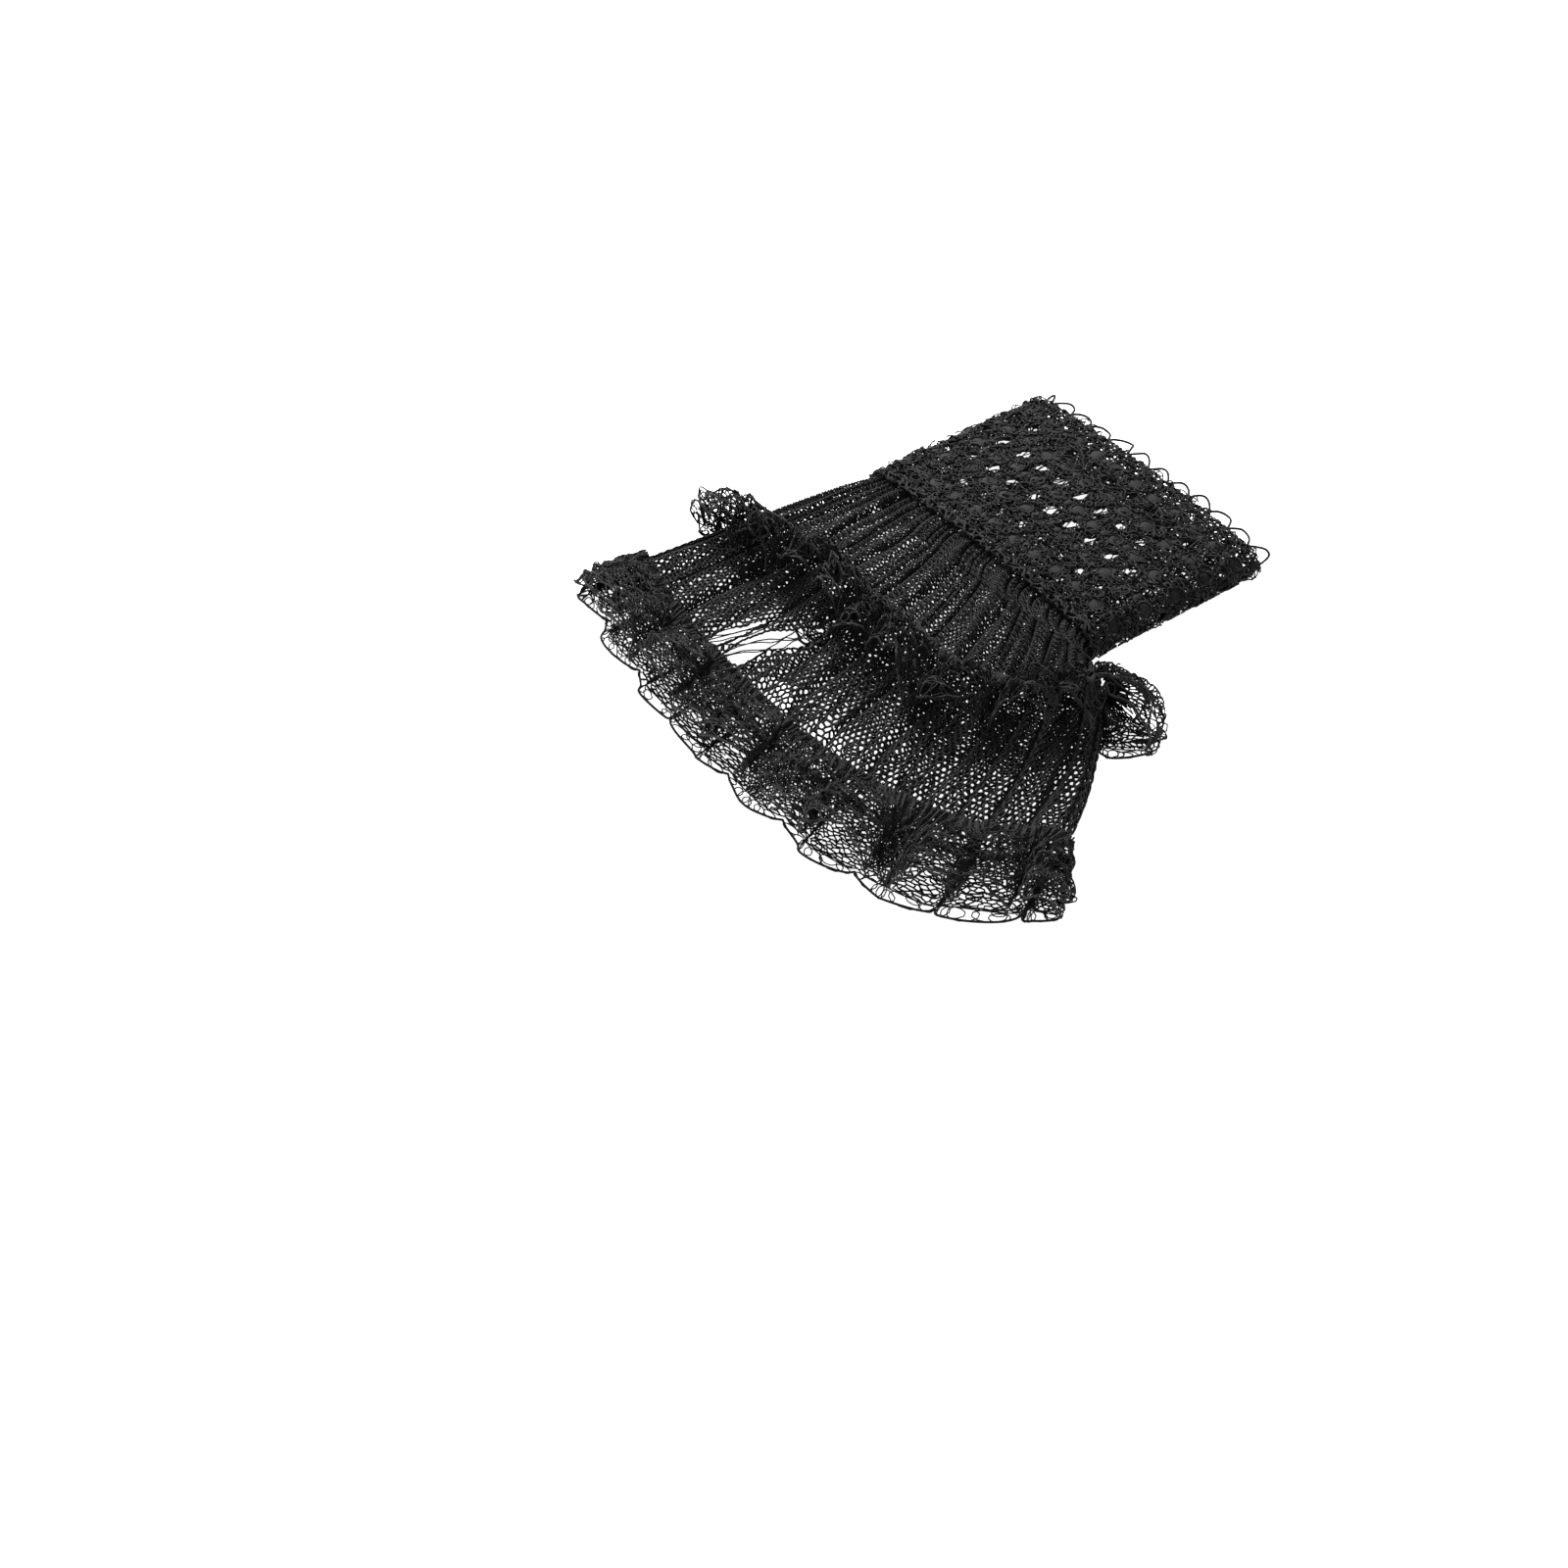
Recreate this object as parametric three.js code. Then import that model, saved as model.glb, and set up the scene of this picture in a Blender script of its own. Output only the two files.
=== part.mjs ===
// Lace cuff with an elastic flower band, a pleated net sleeve and two gathered lace ruffles, lying flat.
// Millimetres. The cuff lies on Z = 0 with its wrist opening towards +Y and its hem towards -Y.
import * as THREE from "three";

// Elastic band
const BAND_WIDTH = 95; // flat, relaxed
const BAND_LENGTH = 60; // wrist edge to lower edge
const BAND_WALL = 2;
const WRIST_HEIGHT = 11; // outer height of the flattened tube at the wrist edge
const FLOWER_PITCH = 7.9; // round the band
const FLOWER_WIDTH = 5.2;
const ROW_PITCH = 11; // from one row of flowers to the next
const FLOWER_LENGTH = 7.4; // along the band
const FLOWER_RISE = 1.3; // above the band's wall
const FLOWER_TAPER = 0.45; // share by which a flower's top is smaller than its foot

// Cords along the band's two edges
const CORD_RADIUS = 0.7;
const PICOT_HEIGHT = 3.6; // scallops at the wrist edge
const EDGE_WAVE = 1.4; // waves at the lower edge

// Sleeve
const SLEEVE_HEIGHT = 13; // outer height of the flattened tube at its tallest
const SLEEVE_WALL = 1;
const SLEEVE_LENGTH = 84; // band's lower edge to the lower ruffle's seam
const TUCK = 3; // length of sleeve inside the band
const PLEAT_PITCH = 5.4; // at the band
const PLEAT_DEPTH = 1.6;
const FAN_LEFT = 8; // degrees that the left fold leans outwards
const FAN_RIGHT = 41; // degrees that the right fold leans outwards

// Ruffles
const RUFFLE_WALL = 1;
const UPPER_SEAM = 41; // below the band's lower edge
const UPPER_LENGTH = 24;
const UPPER_PUFF = 9; // how far its frills stand off the sleeve
const LOWER_LENGTH = 25;
const LOWER_PUFF = 4.5;
const FULLNESS = 1.35; // length of the upper ruffle's hem against its seam
const FRILL_LEAN = 1.3; // how far a frill's sides lean over
const FRILL_RISE = 0.45; // small frills, as a share of the puff
const FRILL_DRIFT = 0.18; // how far the frills crowd and spread, as a share of a frill
const FOLD_DRAW = 0.2; // how far a large fold draws its hem back, as a share of the puff
const SEAM_LAP = 2; // sleeve and ruffle lie on each other at a seam
const SCALLOP_PITCH = 15.5; // round the hem
const SCALLOP_DEPTH = 3.2;
const FRILL_PITCH = 14; // round the upper ruffle's seam
const GAP = 0.3; // between pieces that lie on each other

// Cells of the cloth grids
const CELLS_PER_FLOWER = 3;
const CORD_SIDES = 4;

// Depths of the cells across one pleat, one wrist scallop and one hem scallop, as shares of the whole depth
const PLEAT_CELLS = [0, 1, 0.55];
const PICOT_CELLS = [0, 1, 1];
const SCALLOP_CELLS = [0, 0.75, 1, 1, 0.75];

const HALF_FAN = THREE.MathUtils.degToRad((FAN_LEFT + FAN_RIGHT) / 2);
const FAN_MIDDLE = THREE.MathUtils.degToRad((FAN_RIGHT - FAN_LEFT) / 2);
const HEM_REACH = SLEEVE_LENGTH + LOWER_LENGTH;
const FLOWERS_ROUND = 2 * Math.round(BAND_WIDTH / FLOWER_PITCH);
const FLOWER_ROWS = Math.round(BAND_LENGTH / ROW_PITCH);
const PLEATS = 2 * Math.round(BAND_WIDTH / PLEAT_PITCH);
const UPPER_ROUND = 2 * (BAND_WIDTH + 2 * HALF_FAN * UPPER_SEAM);
const HEM_ROUND = 2 * (BAND_WIDTH + 2 * HALF_FAN * HEM_REACH);
const UPPER_SCALLOPS = Math.round((UPPER_ROUND * FULLNESS) / SCALLOP_PITCH);
const LOWER_SCALLOPS = Math.round(HEM_ROUND / SCALLOP_PITCH);
const FRILLS = Math.round(UPPER_ROUND / FRILL_PITCH);

// How the cloth lies across the cuff, from its left fold to its right fold. The columns are shares of the flat
// width, of the upper seam's reach, of the sleeve's length and of each ruffle's length.
const LAY = [
  { across: 0.0, seam: 0.92, sleeve: 0.88, upper: 0.8, lower: 0.84 },
  { across: 0.2, seam: 0.95, sleeve: 1.0, upper: 0.66, lower: 0.78 },
  { across: 0.45, seam: 1.0, sleeve: 1.08, upper: 0.78, lower: 0.86 },
  { across: 0.65, seam: 1.12, sleeve: 1.12, upper: 0.95, lower: 1.0 },
  { across: 0.85, seam: 0.9, sleeve: 1.08, upper: 0.9, lower: 1.12 },
  { across: 1.0, seam: 0.32, sleeve: 0.9, upper: 0.95, lower: 1.04 },
];

// The flattened tube below the band: share of the hem's reach, crown as a share of the sleeve's height,
// radius of the two folds as a share of the same height, and how far the fan has opened.
const LOFT = [
  { reach: 0.0, height: 1.0, fold: 0.4, fan: 1.5 },
  { reach: 0.38, height: 1.05, fold: 0.33, fan: 1.25 },
  { reach: 0.75, height: 0.93, fold: 0.3, fan: 1.05 },
  { reach: 1.0, height: 0.5, fold: 0.2, fan: 1.0 },
];

// Large folds that stand out of the upper ruffle: place round the cuff, rise as a share of the puff, half width.
const UPPER_FOLDS = [
  { round: 0.02, rise: 1.5, width: 0.03 },
  { round: 0.08, rise: 0.7, width: 0.02 },
  { round: 0.14, rise: 0.75, width: 0.02 },
  { round: 0.23, rise: 0.35, width: 0.03 },
  { round: 0.34, rise: 0.7, width: 0.03 },
  { round: 0.41, rise: 0.5, width: 0.02 },
  { round: 0.475, rise: 0.5, width: 0.03 },
];

// Large folds of the lower ruffle, in the same columns.
const LOWER_FOLDS = [
  { round: 0.06, rise: 0.9, width: 0.03 },
  { round: 0.17, rise: 0.6, width: 0.04 },
  { round: 0.3, rise: 0.4, width: 0.03 },
  { round: 0.42, rise: 0.7, width: 0.04 },
];

// Value of one column of a table at a key, on straight lines between its rows.
function lookUp(table, key, at, column) {
  const last = table.length - 1;
  if (at <= table[0][key]) return table[0][column];
  if (at >= table[last][key]) return table[last][column];
  const i = table.findIndex((row) => row[key] > at);
  const share = (at - table[i - 1][key]) / (table[i][key] - table[i - 1][key]);
  return THREE.MathUtils.lerp(table[i - 1][column], table[i][column], share);
}

// Sizes of the flattened tube at a reach below the band's lower edge; the band's reach is below zero.
function tubeAt(reach) {
  const below = Math.max(reach, 0) / HEM_REACH;
  const band = THREE.MathUtils.mapLinear(Math.min(reach, 0), -BAND_LENGTH, 0, WRIST_HEIGHT, SLEEVE_HEIGHT);
  const radius = band * lookUp(LOFT, "reach", below, "fold");
  const fan = lookUp(LOFT, "reach", below, "fan");
  return {
    radius,
    crown: band * lookUp(LOFT, "reach", below, "height") - 2 * radius,
    fan,
    halfWidth: BAND_WIDTH / 2 + Math.max(reach, 0) * HALF_FAN * fan,
  };
}

// Point of a flattened tube's section, with its outward direction. The share runs round from the right fold
// over the top to the left fold and back underneath.
function sectionAt(share, halfWidth, radius) {
  const round = share - Math.floor(share);
  if (round > 0.5) {
    const mirror = sectionAt(1 - round, halfWidth, radius);
    return { x: mirror.x, z: -mirror.z, nx: mirror.nx, nz: -mirror.nz };
  }
  const flat = 2 * (halfWidth - radius);
  const quarter = (Math.PI * radius) / 2;
  const along = 2 * round * (flat + 2 * quarter);
  if (along > quarter && along < quarter + flat) {
    return { x: flat / 2 - (along - quarter), z: radius, nx: 0, nz: 1 };
  }
  const past = along <= quarter ? along : along - flat;
  const centre = along <= quarter ? flat / 2 : -flat / 2;
  const nx = Math.cos(past / radius);
  const nz = Math.sin(past / radius);
  return { x: centre + radius * nx, z: radius * nz, nx, nz };
}

// How far across the cuff a share round it lies, from 0 at the left fold to 1 at the right fold.
function acrossAt(share, reach) {
  const tube = tubeAt(reach);
  return 0.5 + sectionAt(share, tube.halfWidth, tube.radius).x / (2 * tube.halfWidth);
}

// Point of the cuff at a share round it, a reach below the band and an outset from its outer surface.
// Nothing lies lower than the floor given.
function cuffPoint(share, reach, outset, floor) {
  const fanned = Math.max(reach, 0);
  const tube = tubeAt(reach);
  const section = sectionAt(share, tube.halfWidth, tube.radius);
  const across = section.x / tube.halfWidth;
  const turn = tube.fan * (FAN_MIDDLE + across * HALF_FAN) * Math.min(1, fanned / (4 * TUCK));
  const out = section.nx * outset;
  const x = (across * BAND_WIDTH) / 2 + fanned * Math.sin(turn) + out * Math.cos(turn);
  const y = -(reach < 0 ? reach : fanned * Math.cos(turn)) + out * Math.sin(turn);
  const crown = section.z > 0 ? tube.crown * (1 - across ** 2) : 0;
  const z = tube.radius + section.z + crown + section.nz * outset;
  return new THREE.Vector3(x, y, Math.max(z, floor));
}

// Outward directions of a grid of points that closes round its columns.
function gridNormals(points, columns, rows) {
  const at = (i, j) => points[j * columns + ((i + columns) % columns)];
  const normals = [];
  for (let j = 0; j <= rows; j++) {
    for (let i = 0; i < columns; i++) {
      const round = at(i + 1, j).clone().sub(at(i - 1, j));
      const along = at(i, Math.min(j + 1, rows)).clone().sub(at(i, Math.max(j - 1, 0)));
      normals.push(round.cross(along).normalize());
    }
  }
  return normals;
}

// Mesh of one sub-part with its own matt cloth material.
function clothMesh(name, positions, faces, colour) {
  const geometry = new THREE.BufferGeometry();
  geometry.setAttribute("position", new THREE.Float32BufferAttribute(positions, 3));
  geometry.setIndex(faces);
  geometry.computeVertexNormals();
  const material = new THREE.MeshStandardMaterial({ color: colour, roughness: 0.85, metalness: 0 });
  const mesh = new THREE.Mesh(geometry, material);
  mesh.name = name;
  return mesh;
}

// Closed wall of cloth round the cuff. place(i, j) gives the middle of the wall, and kind(i, j) says what a
// cell is: "plain", "open" for a pierced gap, "flower" for the first cell of a raised pad or "covered" by it.
function clothTube(name, colour, columns, rows, wall, place, kind) {
  const middle = [];
  for (let j = 0; j <= rows; j++) {
    for (let i = 0; i < columns; i++) middle.push(place(i, j));
  }
  const normals = gridNormals(middle, columns, rows);
  const outer = middle.map((p, k) => p.clone().addScaledVector(normals[k], wall / 2));
  const inner = middle.map((p, k) => p.clone().addScaledVector(normals[k], -wall / 2));
  const points = [...outer, ...inner];
  const faces = [];
  const id = (i, j) => j * columns + (i % columns);
  const back = (k) => k + middle.length;
  const quad = (a, b, c, d) => faces.push(a, b, c, a, c, d);

  for (let j = 0; j < rows; j++) {
    for (let i = 0; i < columns; i++) {
      const [a, b, c, d] = [id(i, j), id(i + 1, j), id(i + 1, j + 1), id(i, j + 1)];
      const here = kind(i, j);
      if (here === "open") {
        for (const [p, q] of [[a, b], [b, c], [c, d], [d, a]]) quad(p, q, back(q), back(p));
        continue;
      }
      quad(back(a), back(d), back(c), back(b));
      if (here === "plain") quad(a, b, c, d);
      if (here === "flower") addFlower(points, faces, normals, [a, b, id(i + 2, j), id(i + 2, j + 1), c, d]);
    }
  }
  for (let i = 0; i < columns; i++) {
    quad(id(i + 1, 0), id(i, 0), back(id(i, 0)), back(id(i + 1, 0)));
    quad(id(i, rows), id(i + 1, rows), back(id(i + 1, rows)), back(id(i, rows)));
  }
  return clothMesh(name, points.flatMap((p) => p.toArray()), faces, colour);
}

// Raised pad over two cells that lie side by side: six points round its foot, four round its top.
function addFlower(points, faces, normals, foot) {
  const [p0, p1, p2, p3, p4, p5] = foot;
  const corners = [p0, p2, p3, p5];
  const centre = corners.reduce((sum, k) => sum.add(points[k]), new THREE.Vector3()).divideScalar(4);
  const t0 = points.length;
  const [t1, t2, t3] = [t0 + 1, t0 + 2, t0 + 3];
  for (const k of corners) {
    points.push(points[k].clone().lerp(centre, FLOWER_TAPER).addScaledVector(normals[k], FLOWER_RISE));
  }
  faces.push(p0, p1, t0, p1, t1, t0, p1, p2, t1);
  faces.push(p2, p3, t2, p2, t2, t1);
  faces.push(p3, p4, t2, p4, t3, t2, p4, p5, t3);
  faces.push(p5, p0, t0, p5, t0, t3);
  faces.push(t0, t1, t2, t0, t2, t3);
}

// Closed ring of cord along a list of points, with a square section.
function cordRing(name, colour, path) {
  const positions = [];
  const faces = [];
  const count = path.length;
  for (let i = 0; i < count; i++) {
    const along = path[(i + 1) % count].clone().sub(path[(i + count - 1) % count]).normalize();
    const up = new THREE.Vector3(0, 1, 0).addScaledVector(along, -along.y).normalize();
    const side = along.clone().cross(up);
    for (let k = 0; k < CORD_SIDES; k++) {
      const angle = (2 * Math.PI * k) / CORD_SIDES;
      const point = path[i].clone().addScaledVector(up, CORD_RADIUS * Math.cos(angle));
      point.addScaledVector(side, CORD_RADIUS * Math.sin(angle));
      positions.push(...point.toArray());
    }
  }
  for (let i = 0; i < count; i++) {
    for (let k = 0; k < CORD_SIDES; k++) {
      const a = i * CORD_SIDES + k;
      const b = i * CORD_SIDES + ((k + 1) % CORD_SIDES);
      const c = ((i + 1) % count) * CORD_SIDES + ((k + 1) % CORD_SIDES);
      const d = ((i + 1) % count) * CORD_SIDES + k;
      faces.push(a, b, c, a, c, d);
    }
  }
  return clothMesh(name, positions, faces, colour);
}

// Openwork band: rows of raised flowers with a pierced gap between each four of them.
function wristBand() {
  const columns = FLOWERS_ROUND * CELLS_PER_FLOWER;
  const rows = 2 * FLOWER_ROWS + 1;
  const margin = (BAND_LENGTH - (FLOWER_ROWS - 1) * ROW_PITCH - FLOWER_LENGTH) / 2;
  const along = (j) => {
    if (j === 0) return 0;
    if (j === rows) return BAND_LENGTH;
    return margin + Math.floor((j - 1) / 2) * ROW_PITCH + (j % 2 === 0 ? FLOWER_LENGTH : 0);
  };
  const padShare = FLOWER_WIDTH / FLOWER_PITCH;
  const round = (i) => {
    const cell = i % CELLS_PER_FLOWER;
    return (Math.floor(i / CELLS_PER_FLOWER) + (padShare * cell) / (CELLS_PER_FLOWER - 1)) / FLOWERS_ROUND;
  };
  const place = (i, j) => cuffPoint(round(i), along(j) - BAND_LENGTH, -BAND_WALL / 2, BAND_WALL / 2);
  const rises = (i) => {
    const middle = round(i - (i % CELLS_PER_FLOWER) + 1);
    return sectionAt(middle, BAND_WIDTH / 2, tubeAt(0).radius).nz > -0.2;
  };
  const kind = (i, j) => {
    const gapColumn = i % CELLS_PER_FLOWER === CELLS_PER_FLOWER - 1;
    const flowerRow = j % 2 === 1;
    if (gapColumn) return flowerRow || j === 0 || j === rows - 1 ? "plain" : "open";
    if (!flowerRow || !rises(i)) return "plain";
    return i % CELLS_PER_FLOWER === 0 ? "flower" : "covered";
  };
  return clothTube("wrist_band", 0x1a191b, columns, rows, BAND_WALL, place, kind);
}

// Scalloped cord along the wrist edge, with one scallop for each flower.
function wristEdgeCord() {
  const cells = PICOT_CELLS.length;
  const path = [];
  for (let i = 0; i < FLOWERS_ROUND * cells; i++) {
    const lift = GAP + CORD_RADIUS + PICOT_HEIGHT * PICOT_CELLS[i % cells];
    const round = (i - 0.5) / (FLOWERS_ROUND * cells);
    path.push(cuffPoint(round, -BAND_LENGTH - lift, -BAND_WALL / 2, CORD_RADIUS));
  }
  return cordRing("wrist_edge_cord", 0x201f21, path);
}

// Wavy cord along the band's lower edge, over the top of the sleeve.
function bandEdgeCord() {
  const steps = 3;
  const path = [];
  for (let i = 0; i < FLOWERS_ROUND * steps; i++) {
    const reach = GAP + CORD_RADIUS + (i % steps === 0 ? 0 : EDGE_WAVE);
    path.push(cuffPoint((i + 0.5) / (FLOWERS_ROUND * steps), reach, CORD_RADIUS / 2, CORD_RADIUS));
  }
  return cordRing("band_edge_cord", 0x232224, path);
}

// Pleated net sleeve, tucked into the band and fanning out below it.
function sleeve() {
  const inBand = BAND_WALL + GAP;
  const lines = [
    { reach: -TUCK, inset: inBand, depth: 0.3 },
    { reach: GAP + CORD_RADIUS, inset: inBand, depth: 0.35 },
    { reach: 2.5 * TUCK, inset: 0, depth: 0.9 },
    { reach: UPPER_SEAM - SEAM_LAP, inset: 0, depth: 1, lay: "seam" },
    { reach: (UPPER_SEAM + SLEEVE_LENGTH) / 2, inset: 0, depth: 0.85, lay: "sleeve" },
    { reach: SLEEVE_LENGTH + SEAM_LAP, inset: 0, depth: 0.9, lay: "sleeve" },
  ];
  const columns = PLEATS * PLEAT_CELLS.length;
  const layered = RUFFLE_WALL + 2 * GAP;
  const place = (i, j) => {
    const line = lines[j];
    const share = i / columns;
    const across = acrossAt(share, line.reach);
    const scale = line.lay ? lookUp(LAY, "across", across, line.lay) : 1;
    const valley = PLEAT_DEPTH * line.depth * PLEAT_CELLS[i % PLEAT_CELLS.length];
    const floor = line.reach > UPPER_SEAM - 2 * SEAM_LAP ? layered : 0;
    return cuffPoint(share, line.reach * scale, -line.inset - SLEEVE_WALL / 2 - valley, floor + SLEEVE_WALL / 2);
  };
  return clothTube("net_sleeve", 0x1d1c1e, columns, lines.length - 1, SLEEVE_WALL, place, () => "plain");
}

// Height of the large folds at a share round the cuff.
function foldRise(folds, share) {
  let rise = 0;
  for (const fold of folds) {
    const away = Math.abs(share - fold.round - Math.round(share - fold.round));
    rise += fold.rise * Math.exp(-((away / fold.width) ** 2));
  }
  return rise;
}

// Gathered lace ruffle: flat at its seam, with frills that grow towards a scalloped hem.
function ruffle(name, colour, size) {
  const columns = size.scallops * SCALLOP_CELLS.length;
  const lines = [
    { along: 0, frill: 0 },
    { along: 0.22, frill: 0.6 },
    { along: 0.62, frill: 1 },
    { along: 1, frill: 0.8 },
  ];
  const place = (i, j) => {
    const line = lines[j];
    const share = i / columns;
    const across = acrossAt(share, size.seam);
    const start = (size.seam - SEAM_LAP / 2) * lookUp(LAY, "across", across, size.start);
    const length = size.length * lookUp(LAY, "across", across, size.lay);
    const notch = SCALLOP_DEPTH * (1 - SCALLOP_CELLS[i % SCALLOP_CELLS.length]);
    const hem = j === lines.length - 1 ? notch : 0;
    const wave = 2 * Math.PI * (size.frills * share + FRILL_DRIFT * Math.sin(6 * Math.PI * share));
    const frill = 0.5 + 0.5 * Math.cos(wave);
    const fold = foldRise(size.folds, share);
    const puff = size.puff * line.frill * (FRILL_RISE * frill + fold * (0.5 + 0.5 * frill));
    const lean = (FRILL_LEAN * line.frill * Math.sin(2 * wave)) / size.round;
    const drawn = 1 - (FOLD_DRAW * Math.min(1, fold) * size.puff) / size.length;
    const outset = GAP + RUFFLE_WALL / 2 + puff;
    return cuffPoint(share + lean, start + line.along * length * drawn - hem, outset, RUFFLE_WALL / 2);
  };
  return clothTube(name, colour, columns, lines.length - 1, RUFFLE_WALL, place, () => "plain");
}

const upper = {
  seam: UPPER_SEAM,
  start: "seam",
  lay: "upper",
  length: UPPER_LENGTH,
  puff: UPPER_PUFF,
  round: UPPER_ROUND,
  frills: FRILLS,
  scallops: UPPER_SCALLOPS,
  folds: UPPER_FOLDS,
};
const lower = {
  seam: SLEEVE_LENGTH,
  start: "sleeve",
  lay: "lower",
  length: LOWER_LENGTH,
  puff: LOWER_PUFF,
  round: HEM_ROUND,
  frills: FRILLS,
  scallops: LOWER_SCALLOPS,
  folds: LOWER_FOLDS,
};

const cuff = new THREE.Group();
cuff.add(wristBand(), wristEdgeCord(), bandEdgeCord(), sleeve());
cuff.add(ruffle("upper_ruffle", 0x1c1b1d, upper), ruffle("lower_ruffle", 0x1c1b1d, lower));

// The origin is the middle of the underside of the whole cuff.
const box = new THREE.Box3().setFromObject(cuff, true);
cuff.position.set(-(box.min.x + box.max.x) / 2, -(box.min.y + box.max.y) / 2, -box.min.z);

export default cuff;
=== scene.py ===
import math
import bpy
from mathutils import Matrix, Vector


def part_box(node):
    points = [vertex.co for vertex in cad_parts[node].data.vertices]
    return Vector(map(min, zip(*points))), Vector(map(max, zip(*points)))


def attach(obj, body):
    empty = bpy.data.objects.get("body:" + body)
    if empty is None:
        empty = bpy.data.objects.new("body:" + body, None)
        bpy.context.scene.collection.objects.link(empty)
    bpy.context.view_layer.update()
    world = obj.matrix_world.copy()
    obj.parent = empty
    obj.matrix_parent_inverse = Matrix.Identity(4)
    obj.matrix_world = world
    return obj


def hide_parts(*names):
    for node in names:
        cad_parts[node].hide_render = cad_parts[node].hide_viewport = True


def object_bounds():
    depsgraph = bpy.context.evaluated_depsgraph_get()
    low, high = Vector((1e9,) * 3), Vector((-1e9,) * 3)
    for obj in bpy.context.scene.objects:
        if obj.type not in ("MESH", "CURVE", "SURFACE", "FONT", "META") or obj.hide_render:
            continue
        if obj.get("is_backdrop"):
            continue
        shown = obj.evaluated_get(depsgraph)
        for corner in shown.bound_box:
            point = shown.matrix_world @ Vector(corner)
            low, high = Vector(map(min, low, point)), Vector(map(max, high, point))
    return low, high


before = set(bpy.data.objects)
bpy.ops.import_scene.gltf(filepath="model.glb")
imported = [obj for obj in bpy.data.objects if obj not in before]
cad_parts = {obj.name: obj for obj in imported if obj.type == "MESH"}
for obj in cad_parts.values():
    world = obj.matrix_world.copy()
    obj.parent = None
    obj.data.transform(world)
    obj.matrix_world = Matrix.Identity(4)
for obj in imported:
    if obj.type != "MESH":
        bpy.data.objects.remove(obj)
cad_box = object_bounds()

from types import SimpleNamespace

import bmesh
import bpy
import numpy as np
from bpy.props import FloatProperty, FloatVectorProperty, IntProperty, PointerProperty
from mathutils import Matrix, Vector

bl_info = {
    "name": "Lace cuff",
    "version": (1, 0, 0),
    "blender": (4, 5, 0),
    "location": "View3D > Sidebar > Lace cuff",
    "description": "Elastic flower band, pleated net sleeve and two gathered lace ruffles",
    "category": "Mesh",
}

TAU = 2 * math.pi
BAND_LOW, BAND_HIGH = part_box("wrist_band")

# How the cloth lies across the cuff, from its left fold to its right fold, as in the solids.
LAY = {
    "across": (0.0, 0.2, 0.45, 0.65, 0.85, 1.0),
    "seam": (0.92, 0.95, 1.0, 1.12, 0.9, 0.32),
    "sleeve": (0.88, 1.0, 1.08, 1.12, 1.08, 0.9),
    "upper": (0.8, 0.66, 0.78, 0.95, 0.9, 0.95),
    "lower": (0.84, 0.78, 0.86, 1.0, 1.12, 1.04),
}

# The flattened tube below the band, by shares of the hem's reach.
LOFT = {
    "reach": (0.0, 0.38, 0.75, 1.0),
    "height": (1.0, 1.05, 0.93, 0.5),
    "fold": (0.4, 0.33, 0.3, 0.2),
    "fan": (1.5, 1.25, 1.05, 1.0),
}

# The sleeve along its length, by reach in metres: how far it is set in, how deep its pleats are and how thick
# its threads look where they bunch up.
TUCKED = {
    "reach": (-0.003, 0.001, 0.0075, 0.0625, 0.086),
    "inset": (0.0019, 0.0007, 0.0, 0.0, 0.0),
    "depth": (0.3, 0.6, 1.0, 0.9, 0.75),
    "thread": (0.7, 0.7, 0.85, 1.4, 1.35),
}

# How the cut edge of a ruffle is shared out round the cuff: more of it at the folds, less on the underside.
SPREAD = {
    "upper": (0.0, 0.09, 0.59, 0.69, 0.92, 1.0),
    "lower": (0.0, 0.045, 0.585, 0.655, 0.96, 1.0),
    "round": (0.0, 0.02, 0.48, 0.52, 0.98, 1.0),
}

# Large folds of the two ruffles: place round the cuff, rise as a share of the puff, half width.
UPPER_FOLDS = (
    (0.02, 0.8, 0.03),
    (0.08, 0.7, 0.02),
    (0.14, 0.75, 0.02),
    (0.23, 0.35, 0.03),
    (0.34, 0.7, 0.03),
    (0.41, 0.5, 0.02),
    (0.475, 0.5, 0.03),
)
LOWER_FOLDS = ((0.07, 0.7, 0.02), (0.16, 0.9, 0.025), (0.27, 0.8, 0.02), (0.36, 0.9, 0.02), (0.44, 0.8, 0.025))

# How open the star-shaped gaps are, row by row from the wrist edge.
OPEN_GAPS = (1.05, 1.0, 0.9, 0.35)

# Open runs in the net of each side of the sleeve: round it and down it at one end, the same at the other end, and
# half the width.
RUNS = {
    "sleeve_top": (
        (0.360, 0.0795, 0.341, 0.0645, 0.0036),
        (0.335, 0.0770, 0.308, 0.0605, 0.0055),
    ),
    "sleeve_under": (
        (0.612, 0.0740, 0.624, 0.0575, 0.0046),
        (0.639, 0.0710, 0.662, 0.0530, 0.0064),
        (0.688, 0.0745, 0.708, 0.0765, 0.0052),
        (0.748, 0.0760, 0.774, 0.0770, 0.0056),
    ),
}


def length(name, description, default):
    """A length in metres that a user can set."""
    return FloatProperty(
        name=name, description=description, default=default, min=0, precision=5, unit="LENGTH", subtype="DISTANCE"
    )


def share(name, description, default):
    """A share from nothing to one that a user can set."""
    return FloatProperty(name=name, description=description, default=default, min=0, max=1, subtype="FACTOR")


def colour(name, description, default):
    """A colour that a user can set."""
    return FloatVectorProperty(
        name=name, description=description, default=default, size=3, min=0, max=1, subtype="COLOR"
    )


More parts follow.
